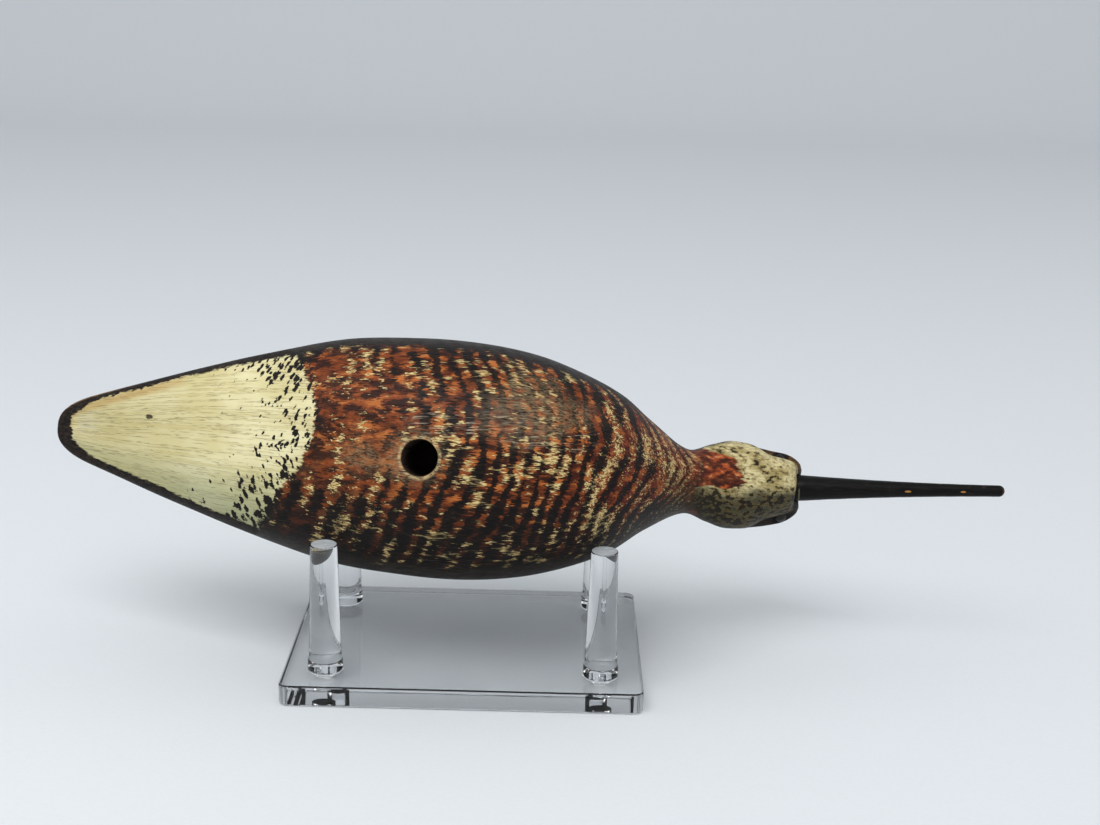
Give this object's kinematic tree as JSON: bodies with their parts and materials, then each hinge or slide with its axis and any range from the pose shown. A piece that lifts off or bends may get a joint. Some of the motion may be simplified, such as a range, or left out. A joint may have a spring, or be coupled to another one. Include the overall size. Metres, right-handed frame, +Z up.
{
  "type": "shorebird decoy on a clear display stand",
  "caption": "Carved and painted wooden shorebird decoy with a long straight bill and a stick hole in its belly, lying on its side across a clear acrylic peg stand.",
  "frame": {"origin": "centre of the stand's underside", "axes": "+Z up, +X along the decoy towards its bill, -Y towards the side its belly faces"},
  "size_m": [0.3015, 0.079, 0.1025],
  "materials": {
    "painted_wood": "old oil paint, rust and black bars on the belly, cream under the tail, dark back, rubbed and satin",
    "bill_paint": "black paint, satin, chipped to bare wood in two places",
    "eye_glass": "dark, glossy",
    "clear_acrylic": "clear, polished, peg tops left sawn"
  },
  "bodies": {
    "root": {"decoy": "painted_wood", "bill": "bill_paint", "eye_left": "eye_glass", "eye_right": "eye_glass", "stand_plate": "clear_acrylic", "peg_front_left": "clear_acrylic", "peg_front_right": "clear_acrylic", "peg_back_left": "clear_acrylic", "peg_back_right": "clear_acrylic"}
  },
  "joints": []
}
